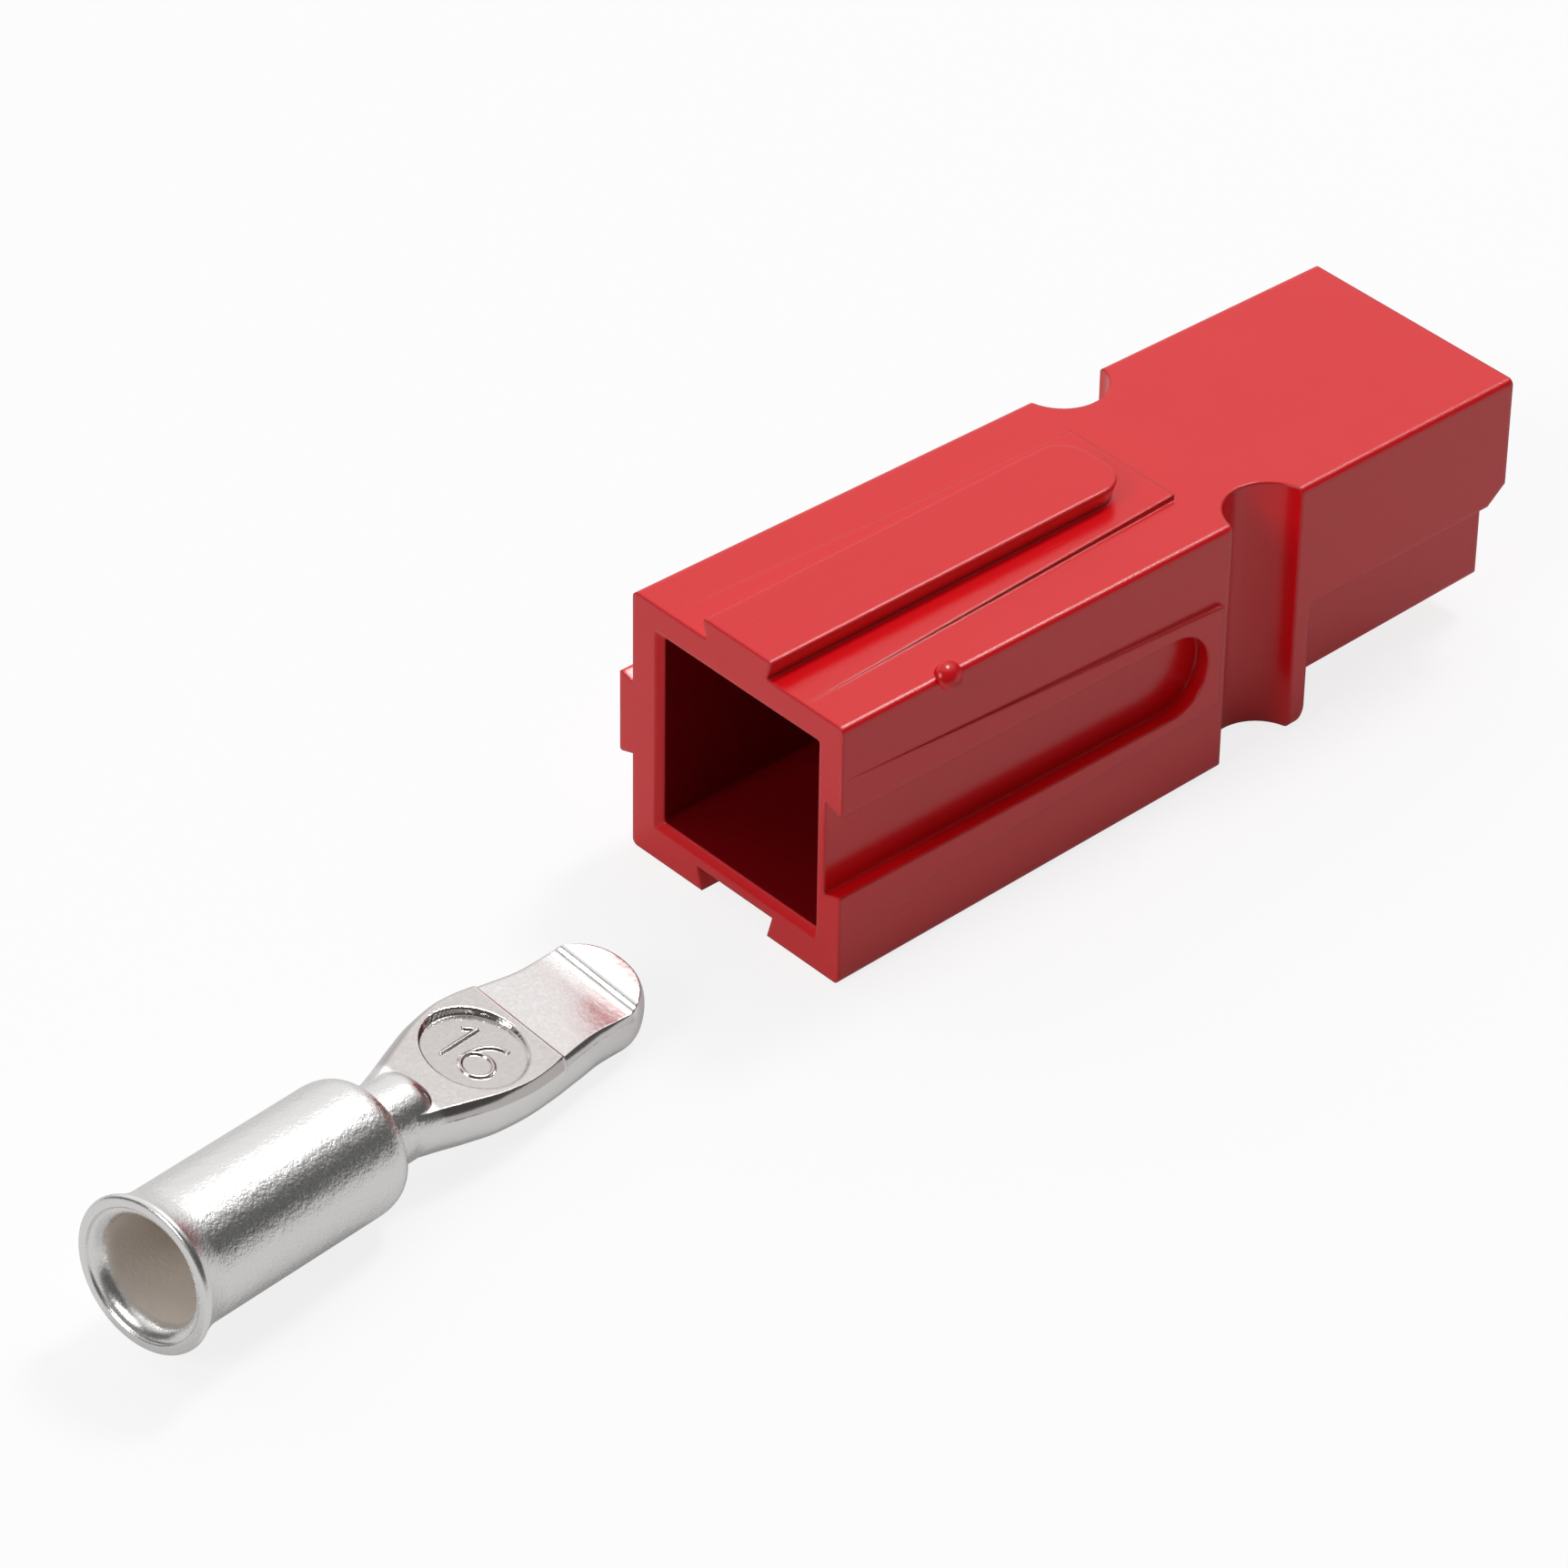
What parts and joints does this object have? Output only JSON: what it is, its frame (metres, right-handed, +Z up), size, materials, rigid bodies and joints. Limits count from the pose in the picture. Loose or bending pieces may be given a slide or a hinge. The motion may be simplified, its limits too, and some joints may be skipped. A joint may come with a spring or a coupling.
{
  "type": "genderless power connector",
  "caption": "Single-pole power connector with a genderless hood and shelf, dovetail tongues and grooves that stack it, and its separate crimp contact.",
  "frame": {"origin": "on the plane the housing stands on, below the middle of its wire end", "axes": "+X from the wire end to the mating end, +Y to the left, +Z up"},
  "size_m": [0.0928, 0.0206, 0.0171],
  "materials": {
    "red_plastic": "moulded red plastic, glossy, with a fine mottle",
    "silver_plate": "silver-plated copper, satin with a fine hammered grain",
    "spring_steel": "plain rolled spring steel"
  },
  "bodies": {
    "root": {"housing": "red_plastic", "contact": "silver_plate", "contact_spring": "spring_steel"}
  },
  "joints": []
}
